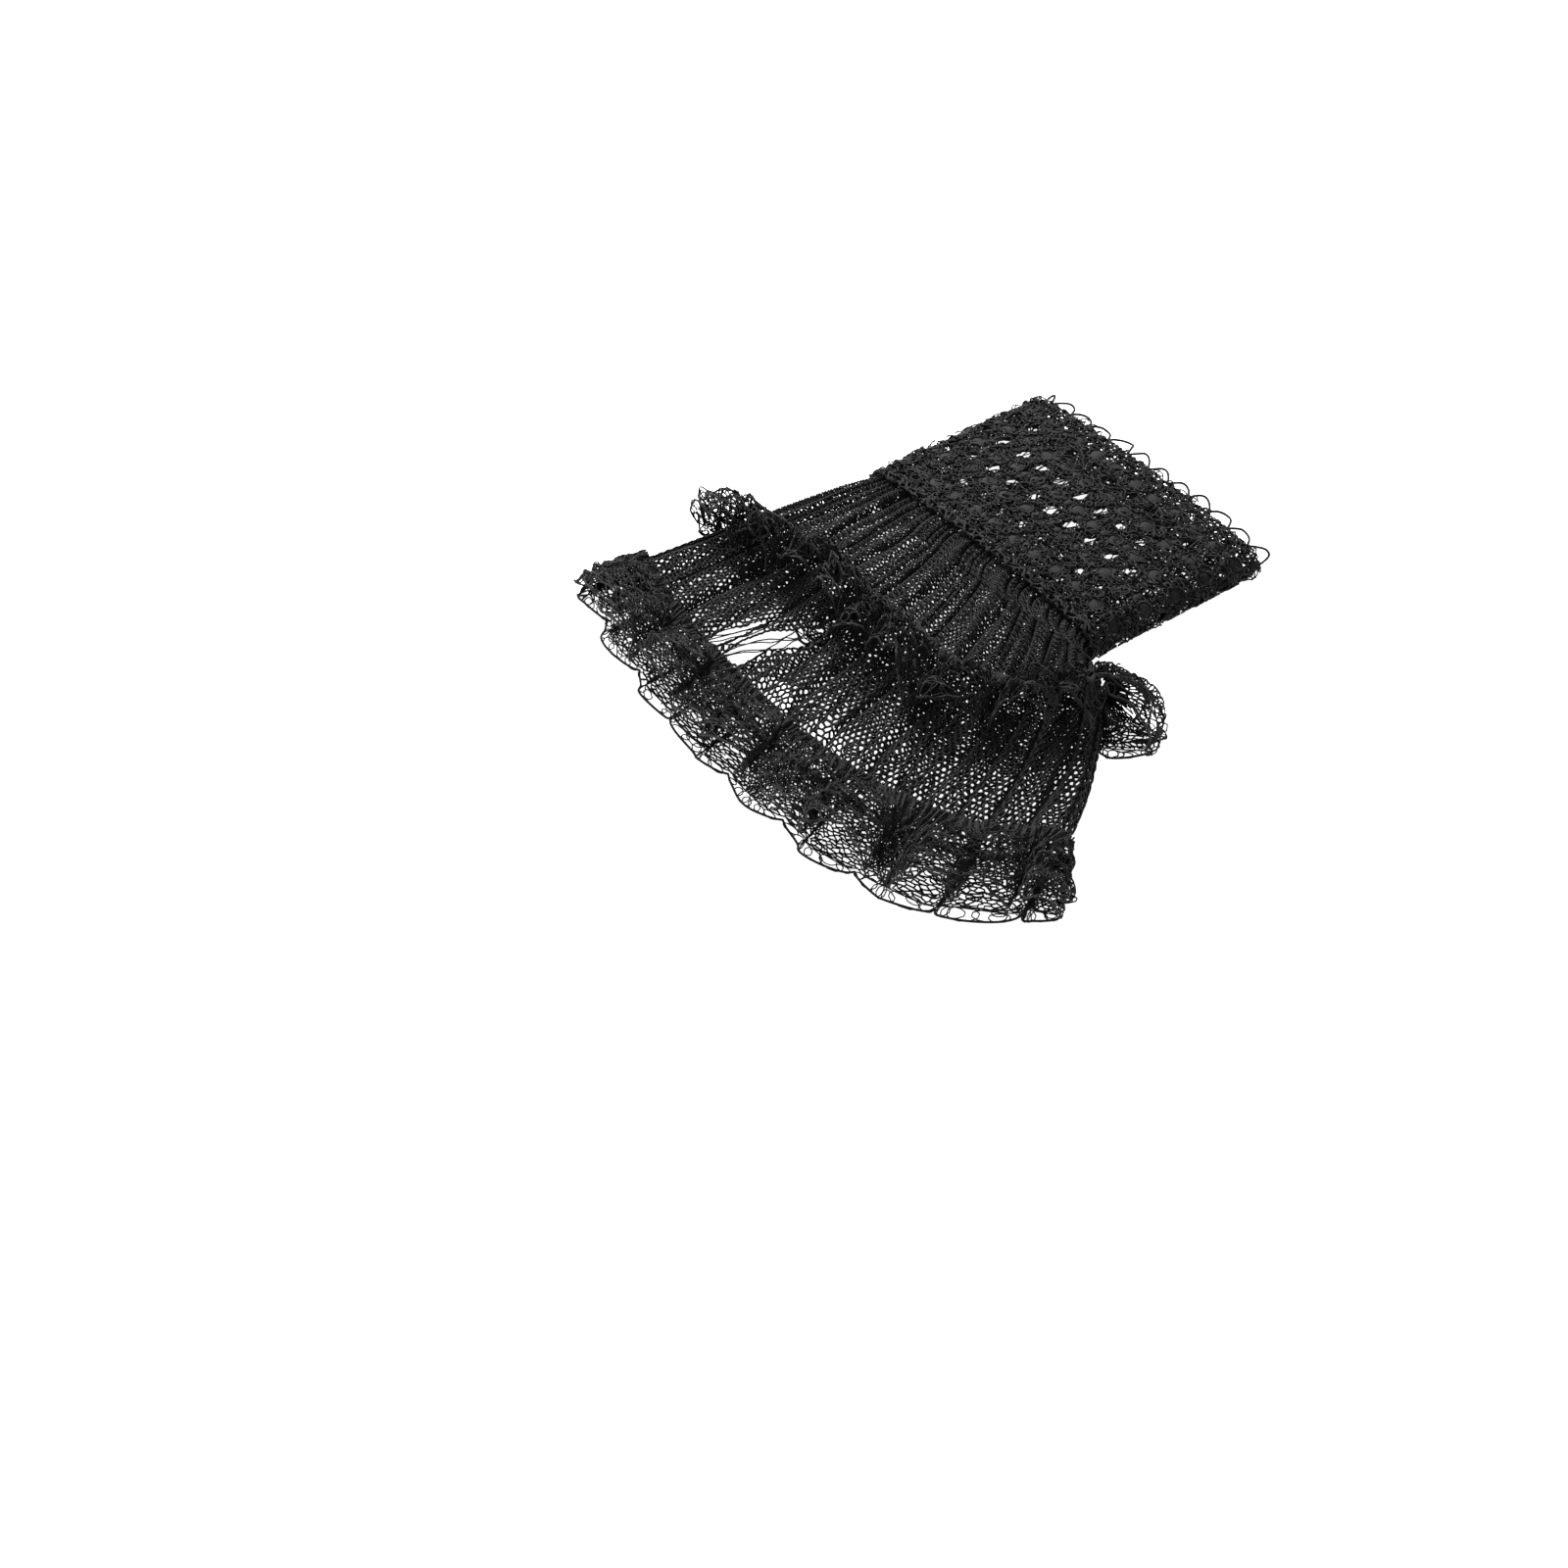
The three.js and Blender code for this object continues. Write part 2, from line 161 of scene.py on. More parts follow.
class CuffForm(bpy.types.PropertyGroup):
    """Sizes of the band, the sleeve and the ruffles."""

    band_width: length("Band width", "Width of the relaxed band when it lies flat", 0.095)
    band_length: length("Band length", "From the wrist edge to the band's lower edge", 0.06)
    wrist_height: length("Wrist height", "Height of the flattened tube at the wrist edge", 0.011)
    sleeve_height: length("Sleeve height", "Height of the flattened tube where it is tallest", 0.013)
    flowers: IntProperty(name="Flowers round", description="Flowers round the band", default=24, min=4)
    rows: IntProperty(name="Flower rows", description="Rows of flowers along the band", default=5, min=1)
    row_pitch: length("Row pitch", "From one row of flowers to the next", 0.011)
    fan_left: FloatProperty(
        name="Left fan", description="Lean of the left fold", default=math.radians(8), unit="ROTATION"
    )
    fan_right: FloatProperty(
        name="Right fan", description="Lean of the right fold", default=math.radians(41), unit="ROTATION"
    )
    tuck: length("Tuck", "Length of sleeve inside the band", 0.003)
    pleats: IntProperty(name="Pleats", description="Pleats round the sleeve", default=36, min=4)
    pleat_depth: length("Pleat depth", "Depth of the sleeve's pleats", 0.0027)
    sleeve_length: length("Sleeve length", "From the band's lower edge to the lower ruffle's seam", 0.084)
    upper_seam: length("Upper seam", "From the band's lower edge to the upper ruffle's seam", 0.041)
    upper_length: length("Upper ruffle", "Length of the upper ruffle", 0.024)
    upper_puff: length("Upper puff", "How far the upper frills stand off the sleeve", 0.009)
    lower_length: length("Lower ruffle", "Length of the lower ruffle", 0.025)
    lower_puff: length("Lower puff", "How far the lower frills stand off", 0.0045)
    upper_scallops: IntProperty(name="Upper scallops", description="Scallops round the upper ruffle", default=23)
    lower_scallops: IntProperty(name="Lower scallops", description="Scallops round the lower ruffle", default=24)
    frills: IntProperty(name="Frills", description="Small frills round each ruffle", default=19)
    scallop_depth: length("Scallop depth", "Depth of the scallops at the hem", 0.0042)


class ThreadSizes(bpy.types.PropertyGroup):
    """Pitches of the nets and radii of the threads and cords."""

    sleeve_cut: length("Sleeve cut", "Width of each side of the sleeve before it is gathered", 0.34)
    sleeve_pitch: length("Sleeve net", "Width of a cell of the sleeve's net", 0.00295)
    under_pitch: length("Underside net", "Width of a cell of the net on the underside", 0.0034)
    rung: length("Rungs", "From one rung of net to the next on the crest of a pleat", 0.001)
    sleeve_thread: length("Sleeve thread", "Radius of a thread of the sleeve's net", 0.00028)
    upper_pitch: length("Upper lace net", "Width of a cell of the upper ruffle's net", 0.00225)
    lower_pitch: length("Lower lace net", "Width of a cell of the lower ruffle's net", 0.00200)
    ground_pitch: length("Band net", "Width of a cell of the net between the flowers", 0.0016)
    thread: length("Thread", "Radius of a lace thread", 0.00022)
    outline: length("Outline", "Radius of the cord round a lace motif", 0.00023)
    cord: length("Cord", "Radius of the cords along the edges", 0.00036)
    elastic: length("Elastic", "Radius of an elastic thread", 0.00027)
    picot: length("Picot", "Radius of the small loops round a flower", 0.00075)


class YarnFinish(bpy.types.PropertyGroup):
    """Colours of the yarns."""

    net: colour("Net", "Colour of the net threads", (0.0072, 0.0069, 0.0075))
    cord: colour("Cord", "Colour of the cords and loops", (0.0098, 0.0094, 0.0102))
    lace_cord: colour("Lace cord", "Colour of the fine cords in the lace", (0.0112, 0.0108, 0.0116))
    flower: colour("Flower", "Colour of the satin flowers", (0.0060, 0.0058, 0.0062))
    roughness: share("Roughness", "Roughness of the yarn", 0.8)
    sheen: share("Sheen", "Soft light along the fibres", 0.05)


class StageSizes(bpy.types.PropertyGroup):
    """Floor, light and camera."""

    floor: colour("Floor", "Colour of the floor", (0.86, 0.86, 0.86))
    glow: FloatProperty(name="Glow", description="Light of the floor itself", default=1.1, min=0)
    sky: FloatProperty(name="Sky", description="Strength of the light from all round", default=0.45, min=0)
    lamp: FloatProperty(name="Lamp", description="Strength of the soft lamp", default=28, min=0, unit="POWER")
    turn: FloatProperty(
        name="Turn", description="Camera's place round the cuff", default=math.radians(52.6), unit="ROTATION"
    )
    height: FloatProperty(
        name="Height", description="Camera's angle above the floor", default=math.radians(42), unit="ROTATION"
    )
    away: length("Away", "Camera's distance from the point that it looks at", 0.96)
    lens: FloatProperty(name="Lens", description="Camera's lens", default=85, min=1, unit="CAMERA")


# The surface that the cloth lies on.


def look_up(table, key, at, column):
    """Value of a table's column at places along its key, softened between its rows."""
    spread = np.linspace(-0.05, 0.05, 5) * (table[key][-1] - table[key][0])
    values = [np.interp(at + step, table[key], table[column]) for step in spread]
    return np.mean(values, axis=0)


def swell(at, waves, seed):
    """Soft uneven value from -1 to 1 that closes round the cuff, for shares round it."""
    chance = np.random.default_rng(seed)
    total = np.zeros_like(at)
    for count in waves:
        total += np.sin(TAU * (count * at + chance.random())) / len(waves)
    return total


class Cuff:
    """The flattened tube of cloth, from the settings. Places are shares round it and reaches below the band."""

    WALL = 0.001
    LAP = 0.002
    GAP = 0.0003
    FLOOR = 0.0004

    def __init__(self, form):
        self.form = form
        self.middle = (BAND_LOW.x + BAND_HIGH.x) / 2
        self.edge = BAND_LOW.y
        self.half_fan = (form.fan_left + form.fan_right) / 2
        self.fan_middle = (form.fan_right - form.fan_left) / 2
        self.hem = form.sleeve_length + form.lower_length
        self.upper_round = 2 * (form.band_width + 2 * self.half_fan * form.upper_seam)
        self.hem_round = 2 * (form.band_width + 2 * self.half_fan * self.hem)
        self.band_round = 2 * form.band_width

    def tube(self, reach):
        """Radius of the folds, height of the crown, fan and half width at a reach."""
        form = self.form
        below = np.maximum(reach, 0) / self.hem
        rise = np.interp(reach, (-form.band_length, 0), (form.wrist_height, form.sleeve_height))
        radius = rise * look_up(LOFT, "reach", below, "fold")
        fan = look_up(LOFT, "reach", below, "fan")
        crown = rise * look_up(LOFT, "reach", below, "height") - 2 * radius
        return radius, crown, fan, form.band_width / 2 + np.maximum(reach, 0) * self.half_fan * fan

    def section(self, round_, half_width, radius):
        """Point of the tube's section at a share round it, and its outward direction."""
        turn = round_ - np.floor(round_)
        under = turn > 0.5
        turn = np.where(under, 1 - turn, turn)
        flat = 2 * (half_width - radius)
        quarter = math.pi * radius / 2
        along = 2 * turn * (flat + 2 * quarter)
        past = np.clip(along - flat, 0, None)
        angle = np.where(along < quarter, along, np.maximum(quarter, past)) / radius
        centre = np.where(along < quarter, flat / 2, np.maximum(flat / 2 - (along - quarter), -flat / 2))
        side = np.where(under, -1, 1)
        return centre + radius * np.cos(angle), radius * np.sin(angle) * side, np.cos(angle), np.sin(angle) * side

    def across(self, round_, reach):
        """How far across the cuff a share round it lies, from 0 at the left fold to 1 at the right."""
        radius, _, _, half_width = self.tube(reach)
        return 0.5 + self.section(round_, half_width, radius)[0] / (2 * half_width)

    def point(self, round_, reach, outset):
        """Points of the cuff in the row frame."""
        form = self.form
        radius, crown, fan, half_width = self.tube(reach)
        x, z, nx, nz = self.section(round_, half_width, radius)
        fanned = np.maximum(reach, 0)
        across = x / half_width
        turn = fan * (self.fan_middle + across * self.half_fan) * np.minimum(1, fanned / (4 * form.tuck))
        out = nx * outset
        px = across * form.band_width / 2 + fanned * np.sin(turn) + out * np.cos(turn)
        py = -np.where(reach < 0, reach, fanned * np.cos(turn)) + out * np.sin(turn)
        pz = radius + z + np.where(z > 0, crown * (1 - across**2), 0) + nz * outset
        return np.stack([self.middle + px, self.edge + py, np.maximum(pz, self.FLOOR)], axis=1)

    def band_place(self, u, v, lift):
        """Lays a flat drawing of the band: round it, down from its wrist edge, and up."""
        round_ = u / self.band_round
        slid = np.clip(np.minimum(round_ - 0.5, 1 - round_) / 0.04, 0, 1)
        pucker = 0.0003 * swell(round_, (17, 29, 41), 3) * np.sin(TAU * v / 0.021)
        round_ = round_ - 0.0022 * slid / self.band_round
        return self.point(round_, v + 0.0011 * slid - self.form.band_length, lift + pucker)

    def sleeve_place(self, u, v, lift):
        """Lays the net sleeve in its pleats. u is a share round the cuff and v a reach before the cloth's lay."""
        form = self.form
        across = self.across(u, v)
        seam = look_up(LAY, "across", across, "seam")
        sleeve = look_up(LAY, "across", across, "sleeve")
        to_seam = np.clip(v / form.upper_seam, 0, 1)
        past_seam = np.clip((v - form.upper_seam) / (form.sleeve_length - form.upper_seam), 0, None)
        reach = np.where(v < 0, v, form.upper_seam * seam * to_seam)
        reach = reach + past_seam * (form.sleeve_length * sleeve - form.upper_seam * seam)
        phase = self.phase(u, v)
        ridge = np.abs(np.cos(math.pi * phase)) ** 0.6
        fine = 0.5 + 0.5 * np.cos(2 * TAU * phase + 2 * swell(u, (7, 12), 9))
        bunched = 0.4 * np.interp(v, (0, 0.004), (0, 1)) * np.sin(TAU * phase) / (TAU * form.pleats)
        depth = form.pleat_depth * np.interp(v, TUCKED["reach"], TUCKED["depth"])
        uneven = 1 + 0.35 * swell(u, (8, 13, 21), 10)
        valley = depth * uneven * (0.8 * (1 - ridge) + 0.4 * fine)
        inset = np.interp(v, TUCKED["reach"], TUCKED["inset"])
        return self.point(u + bunched, reach, lift - inset - self.WALL / 2 - valley)

    def phase(self, u, v):
        """Count of pleats from the right fold to a place on the sleeve."""
        return self.form.pleats * u + 0.35 * swell(u, (5, 9, 14), 7) + 0.12 * swell(u + v, (11, 23), 8)

    def ruffle_place(self, ruffle):
        """Returns the function that lays a flat drawing of a ruffle: round it, down from its seam, and up."""
        form = self.form

        def place(u, v, lift):
            round_ = np.interp(u / ruffle.flat_round, SPREAD[ruffle.lay], SPREAD["round"])
            along = v / ruffle.length
            across = self.across(round_, ruffle.seam)
            start = (ruffle.seam - self.LAP / 2) * look_up(LAY, "across", across, ruffle.start)
            laid = ruffle.length * look_up(LAY, "across", across, ruffle.lay)
            wave = TAU * (form.frills * round_ + 0.18 * np.sin(3 * TAU * round_) + 0.22 * swell(round_, (5, 8, 11), 23))
            frill = 0.5 + 0.5 * np.cos(wave)
            fold = np.zeros_like(round_)
            for middle, rise, half_width in ruffle.folds:
                away = np.abs(round_ - middle - np.round(round_ - middle))
                fold += rise * np.exp(-((away / half_width) ** 2))
            growth = np.interp(along, (0, 0.1, 0.22, 0.4, 0.62, 0.8, 1), (0, 0.22, 0.6, 0.85, 1, 0.97, 0.8))
            puff = ruffle.puff * growth * (ruffle.rise * frill + fold * (0.5 + 0.5 * frill))
            gathers = ruffle.gathers * round_ + 0.6 * swell(round_, (13, 31), 21)
            gather = 0.00055 * np.cos(TAU * gathers) * np.exp(-3.5 * along) * np.minimum(1, 6 * along + 0.5)
            flutter = ruffle.flutter * along**2 * np.sin(TAU * (ruffle.scallops * round_ + 0.2))
            lean = ruffle.lean * (0.7 + 1.3 * fold) * growth * np.sin(wave) / ruffle.seam_round
            crumple = swell(round_ + 0.09 * along, (37, 53, 71), 24) + 0.8 * swell(round_ - 0.05 * along, (31, 61, 97), 25)
            drawn = 1 - 0.2 * np.minimum(1, fold) * ruffle.puff / ruffle.length
            outset = self.GAP + self.WALL / 2 + puff + gather + flutter + ruffle.crumple * growth * crumple + lift
            sweep = ruffle.sweep * growth * swell(round_, (4, 7, 11), 26)
            return self.point(round_ + lean, start + along * laid * drawn + sweep, outset)

        return place


def upper_ruffle(cuff):
    """Sizes of the upper ruffle."""
    form = cuff.form
    return SimpleNamespace(
        seam=form.upper_seam,
        start="seam",
        lay="upper",
        length=form.upper_length,
        puff=form.upper_puff,
        folds=UPPER_FOLDS,
        seam_round=cuff.upper_round,
        flat_round=form.upper_scallops * 0.027,
        scallops=form.upper_scallops,
        gathers=118,
        flutter=0.0007,
        rise=0.95,
        lean=0.0027,
        sweep=0.005,
        crumple=0.0024,
        tall=0.56,
        thread=1.22,
    )


def lower_ruffle(cuff):
    """Sizes of the lower ruffle."""
    form = cuff.form
    return SimpleNamespace(
        seam=form.sleeve_length,
        start="sleeve",
        lay="lower",
        length=form.lower_length,
        puff=form.lower_puff,
        folds=LOWER_FOLDS,
        seam_round=cuff.hem_round,
        flat_round=form.lower_scallops * 0.030,
        scallops=form.lower_scallops,
        gathers=150,
        flutter=0.0006,
        rise=0.8,
        lean=0.0038,
        sweep=0.0008,
        crumple=0.0013,
        tall=0.49,
        thread=1.22,
    )


# Flat drawings of thread.


class Drawing:
    """Lines of thread drawn flat, in metres, before they are laid on the cuff. Each point has its own thickness."""

    def __init__(self, seed):
        self.mesh = bmesh.new()
        self.thick = self.mesh.verts.layers.float.new("thick")
        self.chance = np.random.default_rng(seed)

    def _set(self, verts, thick):
        for vert in verts:
            vert[self.thick] = thick
        return verts

    def net(self, width, length_, pitch, thread, keep=None, wander=0.0, drop=None, tall=0.866):
        """Hexagonal net, from a grid with every other cross thread taken out. thread gives the radius at a place."""
        columns = 2 * round(width / pitch)
        rows = round(length_ / (tall * pitch))
        verts = bmesh.ops.create_grid(self.mesh, x_segments=columns, y_segments=rows, size=0.5)["verts"]
        places = {}
        for vert in verts:
            places[vert] = (round((vert.co.x + 0.5) * columns), round((vert.co.y + 0.5) * rows))
        edges = {edge for vert in verts for edge in vert.link_edges}
        faces = list({face for vert in verts for face in vert.link_faces})
        bmesh.ops.delete(self.mesh, geom=faces, context="FACES_ONLY")
        cross = []
        for edge in edges:
            (i, j), (k, m) = places[edge.verts[0]], places[edge.verts[1]]
            if i == k and (i + min(j, m)) % 2:
                cross.append(edge)
        bmesh.ops.delete(self.mesh, geom=cross, context="EDGES")
        shake = self.chance.normal(0, wander * pitch, (len(verts), 2))
        lost = []
        for (vert, (i, j)), step in zip(places.items(), shake):
            if not vert.is_valid:
                continue
            lean = (1 if (i + j) % 2 == 0 else -1) / 6
            u = i / columns * width + step[0]
            v = (j + lean) / rows * length_ + step[1]
            vert.co = (u, v, 0)
            vert[self.thick] = thread(u, v)
            if keep is not None and not keep(u, v):
                lost.append(vert)
        alive = [vert for vert in verts if vert.is_valid]
        if drop is not None:
            links = list({edge for vert in alive for edge in vert.link_edges})
            luck = self.chance.random(len(links))
            gone = [
                edge for edge, roll in zip(links, luck) if roll < drop(edge.verts[0].co.x, edge.verts[0].co.y)
            ]
            bmesh.ops.delete(self.mesh, geom=gone, context="EDGES")
            lost = [vert for vert in lost if vert.is_valid]
        bmesh.ops.delete(self.mesh, geom=lost, context="VERTS")

    def line(self, count, path, thick):
        """Thread of many short lengths. path(t) gives u, v and lift for t from 0 to 1."""
        verts = [self.mesh.verts.new(path(0.0))]
        for step in range(count):
            made = bmesh.ops.extrude_vert_indiv(self.mesh, verts=verts[-1:])["verts"][0]
            made.co = path((step + 1) / count)
            verts.append(made)
        return self._set(verts, thick)

    def loop(self, u, v, radius, thick, lift=0.0, points=8, stretch=1.0, turn=0.0):
        """Round or oval loop of thread."""
        place = Matrix.Translation((u, v, lift)) @ Matrix.Rotation(turn, 4, "Z") @ Matrix.Diagonal((1, stretch, 1, 1))
        made = bmesh.ops.create_circle(self.mesh, segments=points, radius=radius, matrix=place)
        return self._set(made["verts"], thick)

    def laid(self, name, place):
        """Lays the drawing on the cuff and returns it as an object of bare lines."""
        self.mesh.verts.ensure_lookup_table()
        flat = np.array([vert.co for vert in self.mesh.verts])
        points = place(flat[:, 0], flat[:, 1], flat[:, 2])
        mesh = bpy.data.meshes.new(name)
        self.mesh.to_mesh(mesh)
        self.mesh.free()
        mesh.vertices.foreach_set("co", points.ravel())
        mesh.update()
        return add_object(name, mesh)


def add_object(name, mesh):
    """New object at the origin."""
    made = bpy.data.objects.new(name, mesh)
    bpy.context.scene.collection.objects.link(made)
    return made


def round_thread():
    """Geometry Nodes group that turns lines into round thread, as thick as their points say."""
    group = bpy.data.node_groups.get("Round thread")
    if group:
        return group
    group = bpy.data.node_groups.new("Round thread", "GeometryNodeTree")
    group.interface.new_socket("Geometry", in_out="INPUT", socket_type="NodeSocketGeometry")
    group.interface.new_socket("Sides", in_out="INPUT", socket_type="NodeSocketInt")
    group.interface.new_socket("Geometry", in_out="OUTPUT", socket_type="NodeSocketGeometry")
    tree = Nodes(group)
    given = tree.add("NodeGroupInput", {})
    profile = tree.add("GeometryNodeCurvePrimitiveCircle", {}, Resolution=given["Sides"], Radius=1.0)
    lines = tree.add("GeometryNodeMeshToCurve", {}, Mesh=given["Geometry"])
    thick = tree.add("GeometryNodeInputNamedAttribute", {"data_type": "FLOAT"}, Name="thick")
    tube = tree.add(
        "GeometryNodeCurveToMesh",
        {},
        **{"Curve": lines["Curve"], "Profile Curve": profile["Curve"], "Scale": thick["Attribute"]},
    )
    smooth = tree.add("GeometryNodeSetShadeSmooth", {}, Geometry=tube["Mesh"])
    tree.add("NodeGroupOutput", {}, Geometry=smooth["Geometry"])
    return group


def thicken(lines, sides=3):
    """Turns an object of bare lines into real thread, with nothing left live on it."""
    modifier = lines.modifiers.new("Round thread", "NODES")
    modifier.node_group = round_thread()
    sockets = [item.identifier for item in modifier.node_group.interface.items_tree if item.name == "Sides"]
    modifier[sockets[0]] = sides
    graph = bpy.context.evaluated_depsgraph_get()
    mesh = bpy.data.meshes.new_from_object(lines.evaluated_get(graph))
    lines.modifiers.clear()
    old = lines.data
    lines.data = mesh
    mesh.name = lines.name
    bpy.data.meshes.remove(old)
    return lines


def dress(piece, finish, slot, *nodes):
    """Gives a piece its material and its place on the cuff's body, and hides the solids that it stands for."""
    piece.data.materials.clear()
    piece.data.materials.append(finish)
    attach(piece, "root")
    if nodes:
        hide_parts(*nodes)
    return piece


# Materials.


class Wire:
    """A node's output that adds up in plain expressions."""

    def __init__(self, nodes, socket):
        self.nodes = nodes
        self.socket = socket

    def _math(self, operation, first, second):
        return self.nodes.add("ShaderNodeMath", {"operation": operation}, **{"0": first, "1": second})["Value"]

    def __add__(self, other):
        return self._math("ADD", self, other)

    def __sub__(self, other):
        return self._math("SUBTRACT", self, other)

    def __rsub__(self, other):
        return self._math("SUBTRACT", other, self)

    def __mul__(self, other):
        return self._math("MULTIPLY", self, other)

    __radd__ = __add__
    __rmul__ = __mul__


class Nodes:
    """A node tree that is built with one method."""

    def __init__(self, tree):
        self.tree = tree

    def add(self, kind, settings, **values):
        """Adds a node, makes its settings, then gives its sockets their values or links."""
        node = self.tree.nodes.new(kind)
        stops = settings.pop("stops", None)
        for name, value in settings.items():
            setattr(node, name, value)
        if stops:
            for index, (place, tone) in enumerate(stops):
                stop = node.color_ramp.elements[index] if index < 2 else node.color_ramp.elements.new(place)
                stop.position = place
                stop.color = (*tone, 1) if hasattr(tone, "__len__") else (tone, tone, tone, 1)
        for name, value in values.items():
            socket = self._socket(node.inputs, name)
            if isinstance(value, Wire):
                self.tree.links.new(value.socket, socket)
            else:
                socket.default_value = value
        return NodeOutputs(self, node)

    @staticmethod
    def _socket(sockets, name):
        if name.isdigit():
            return sockets[int(name)]
        return next(socket for socket in sockets if socket.name == name and socket.enabled)


class NodeOutputs:
    """The outputs of a node, by name."""

    def __init__(self, nodes, node):
        self.nodes = nodes
        self.node = node

    def __getitem__(self, name):
        found = next(socket for socket in self.node.outputs if socket.name == name and socket.enabled)
        return Wire(self.nodes, found)


def start_material(name):
    """Empty node material and its tree."""
    made = bpy.data.materials.new(name)
    made.use_nodes = True
    made.node_tree.nodes.clear()
    return made, Nodes(made.node_tree)


def yarn(name, tone, finish, twist, depth, stitch=0.0):
    """Matt spun yarn: uneven dye, fine fibres, a twist, and satin stitches where they are asked for. Its colour also
    carries painted shade where the fibres, twist and stitches sink and painted highlight where they rise.
    """
    made, tree = start_material(name)
    place = tree.add("ShaderNodeTexCoord", {})["Object"]
    patches = tree.add("ShaderNodeTexNoise", {}, Vector=place, Scale=140.0, Detail=3.0)["Fac"]
    fibres = tree.add("ShaderNodeTexNoise", {}, Vector=place, Scale=5200.0, Detail=2.0)["Fac"]
    twisted = tree.add(
        "ShaderNodeTexWave",
        {"bands_direction": "DIAGONAL"},
        Vector=place,
        Scale=twist,
        Distortion=1.5,
        Detail=1.0,
    )["Fac"]
    height = 0.6 * fibres + 0.4 * twisted
    if stitch:
        rows = tree.add(
            "ShaderNodeTexWave", {"bands_direction": "X"}, Vector=place, Scale=stitch, Distortion=0.6
        )["Fac"]
        height = 0.5 * height + 0.8 * rows
    # The tone comes partly from the dye patches, which are real. The rest follows the bump's height, as painted shade
    # in the grooves and painted highlight on the raised fibres, twist and stitches.
    dark = tuple(0.62 * part for part in tone)
    light = tuple(min(1, 1.5 * part) for part in tone)
    dye_with_painted_shade = tree.add(
        "ShaderNodeMix",
        {"data_type": "RGBA"},
        Factor=0.55 * patches + 0.45 * height,
        A=(*dark, 1),
        B=(*light, 1),
    )["Result"]
    rough = tree.add(
        "ShaderNodeMapRange",
        {},
        **{"Value": height, "To Min": finish.roughness + 0.12, "To Max": finish.roughness - 0.14},
    )["Result"]
    bump = tree.add("ShaderNodeBump", {}, Strength=0.55, Distance=depth, Height=height)["Normal"]
    shader = tree.add(
        "ShaderNodeBsdfPrincipled",
        {},
        **{
            "Base Color": dye_with_painted_shade,
            "Roughness": rough,
            "Normal": bump,
            "Sheen Weight": finish.sheen,
            "Sheen Roughness": 0.45,
            "Specular IOR Level": 0.18,
        },
    )["BSDF"]
    tree.add("ShaderNodeOutputMaterial", {}, Surface=shader)
    return made


def finishes(context):
    """The cuff's five yarns, made once."""
    made = {material.name: material for material in bpy.data.materials}
    finish = context.scene.cuff_yarn
    wanted = {
        "Net thread": lambda: yarn("Net thread", finish.net, finish, 900.0, 0.00004),
        "Lace thread": lambda: yarn("Lace thread", finish.net, finish, 800.0, 0.00004),
        "Lace cord": lambda: yarn("Lace cord", finish.lace_cord, finish, 700.0, 0.00006),
        "Twisted cord": lambda: yarn("Twisted cord", finish.cord, finish, 620.0, 0.00008),
        "Satin flower": lambda: yarn("Satin flower", finish.flower, finish, 700.0, 0.00010, stitch=640.0),
    }
    return {name: made.get(name) or make() for name, make in wanted.items()}


# Pieces.


def star_gaps(cuff, chance):
    """Places and openness of the star-shaped gaps between four flowers, more open towards the wrist."""
    form = cuff.form
    pitch = cuff.band_round / form.flowers
    margin = (form.band_length - (form.rows - 1) * form.row_pitch) / 2
    gaps = []
    for row in range(form.rows - 1):
        for column in range(form.flowers):
            open_ = np.clip(chance.normal(OPEN_GAPS[row], 0.14), 0.1, 1.2)
            gaps.append((column * pitch, margin + (row + 0.5) * form.row_pitch, 0.0027 * open_))
    return gaps


def pushed(u, v, gaps, width):
    """Moves a point of thread out of the gap that it would cross."""
    for gap_u, gap_v, radius in gaps:
        du = (u - gap_u + width / 2) % width - width / 2
        dv = v - gap_v
        away = math.hypot(du, dv)
        if away < radius:
            if away < 1e-6:
                dv, away = radius / 10, radius / 10
            return u + du * (radius / away - 1) * 0.4, gap_v + dv * radius / away
    return u, v


def curl(drawing, u, v, radius, thick, lift):
    """Draws a short curled end of thread."""
    chance = drawing.chance
    start, sweep = chance.random() * TAU, chance.uniform(1.6, 4.4)
    level, squash = lift + chance.normal(0, 0.0003), chance.uniform(0.6, 1.0)

    def path(t):
        angle = start + sweep * t
        reach = radius * (1 - 0.35 * t)
        return u + reach * math.cos(angle), v + squash * reach * math.sin(angle), level + 0.0003 * math.sin(3 * t)

    drawing.line(5, path, thick)


